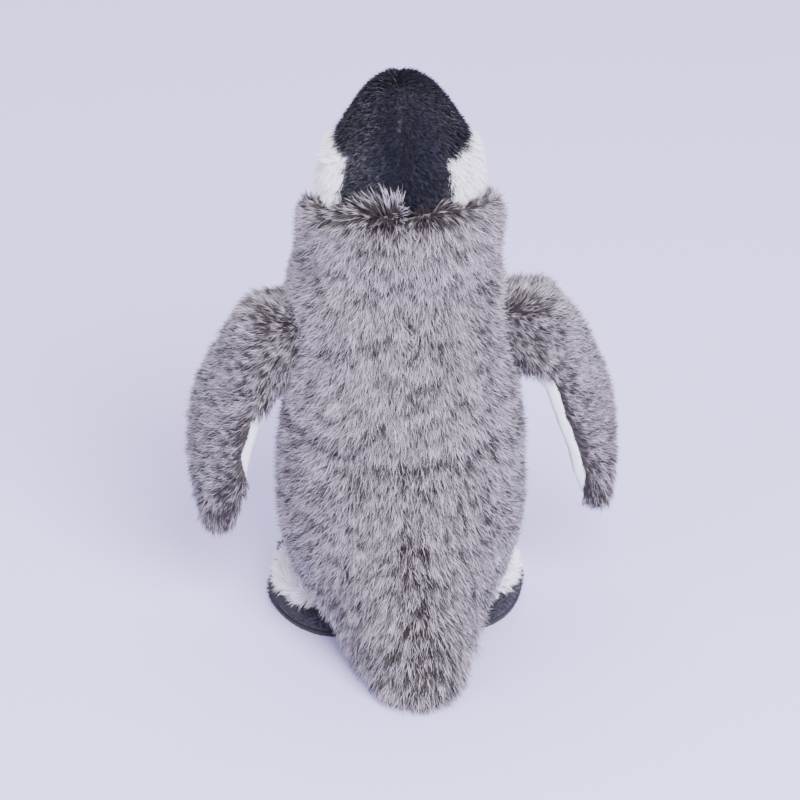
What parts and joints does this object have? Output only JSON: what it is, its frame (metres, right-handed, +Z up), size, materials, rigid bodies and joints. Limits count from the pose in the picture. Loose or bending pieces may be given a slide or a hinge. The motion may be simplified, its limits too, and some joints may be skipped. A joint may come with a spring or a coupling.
{
  "type": "plush penguin chick",
  "caption": "Standing plush penguin chick with a grey fur body, black cap, white cheeks, flat black feet, a tail it leans on and hanging wings.",
  "frame": {"origin": "on the floor, at the middle of the object's outline seen from above", "axes": "+Z up, the chick faces -Y and its own left is +X"},
  "size_m": [0.1659, 0.1455, 0.2416],
  "materials": {
    "grey_long_pile": "long pile",
    "white_long_pile": "long pile",
    "white_short_pile": "short pile",
    "black_short_pile": "short pile",
    "wing_lining": "smooth pile",
    "sole_cloth": "matte",
    "polyester_filling": "fibre",
    "pellet_bag_cloth": "plain weave",
    "eye_plastic": "glossy",
    "washer_plastic": "matte"
  },
  "bodies": {
    "trunk": {"upper_back_left": "grey_long_pile", "upper_back_right": "grey_long_pile", "lower_back_left": "grey_long_pile", "lower_back_right": "grey_long_pile", "tail_underside": "grey_long_pile", "belly_panel": "white_long_pile", "base_panel": "white_long_pile", "body_stuffing": "polyester_filling", "pellet_bag": "pellet_bag_cloth", "foot_left_upper": "black_short_pile", "foot_left_pad": "polyester_filling", "foot_left_sole": "sole_cloth", "foot_right_upper": "black_short_pile", "foot_right_pad": "polyester_filling", "foot_right_sole": "sole_cloth", "leg_left": "white_long_pile", "leg_right": "white_long_pile"},
    "head": {"head_cap_left": "black_short_pile", "head_cap_right": "black_short_pile", "cheek_left": "white_short_pile", "cheek_right": "white_short_pile", "head_stuffing": "polyester_filling", "beak_upper": "black_short_pile", "beak_lower": "black_short_pile", "eye_left": "eye_plastic", "eye_right": "eye_plastic", "eye_washer_left": "washer_plastic", "eye_washer_right": "washer_plastic"},
    "wing_left": {"wing_left_outer": "grey_long_pile", "wing_left_padding": "polyester_filling", "wing_left_inner": "wing_lining"},
    "wing_right": {"wing_right_outer": "grey_long_pile", "wing_right_padding": "polyester_filling", "wing_right_inner": "wing_lining"}
  },
  "joints": [
    {"name": "head_turn", "type": "hinge", "parent": "trunk", "child": "head", "pos_m": [0.0028, -0.0096, 0.172], "axis": [0, 0, 1], "range_deg": [-20, 35], "stiffness_Nm_per_rad": 0.08},
    {"name": "wing_left_flap", "type": "hinge", "parent": "trunk", "child": "wing_left", "pos_m": [0.0494, -0.0076, 0.14], "axis": [0, -1, 0], "range_deg": [-3, 60], "stiffness_Nm_per_rad": 0.05},
    {"name": "wing_right_flap", "type": "hinge", "parent": "trunk", "child": "wing_right", "pos_m": [-0.0438, -0.0076, 0.14], "axis": [0, 1, 0], "range_deg": [-8, 50], "stiffness_Nm_per_rad": 0.05}
  ]
}
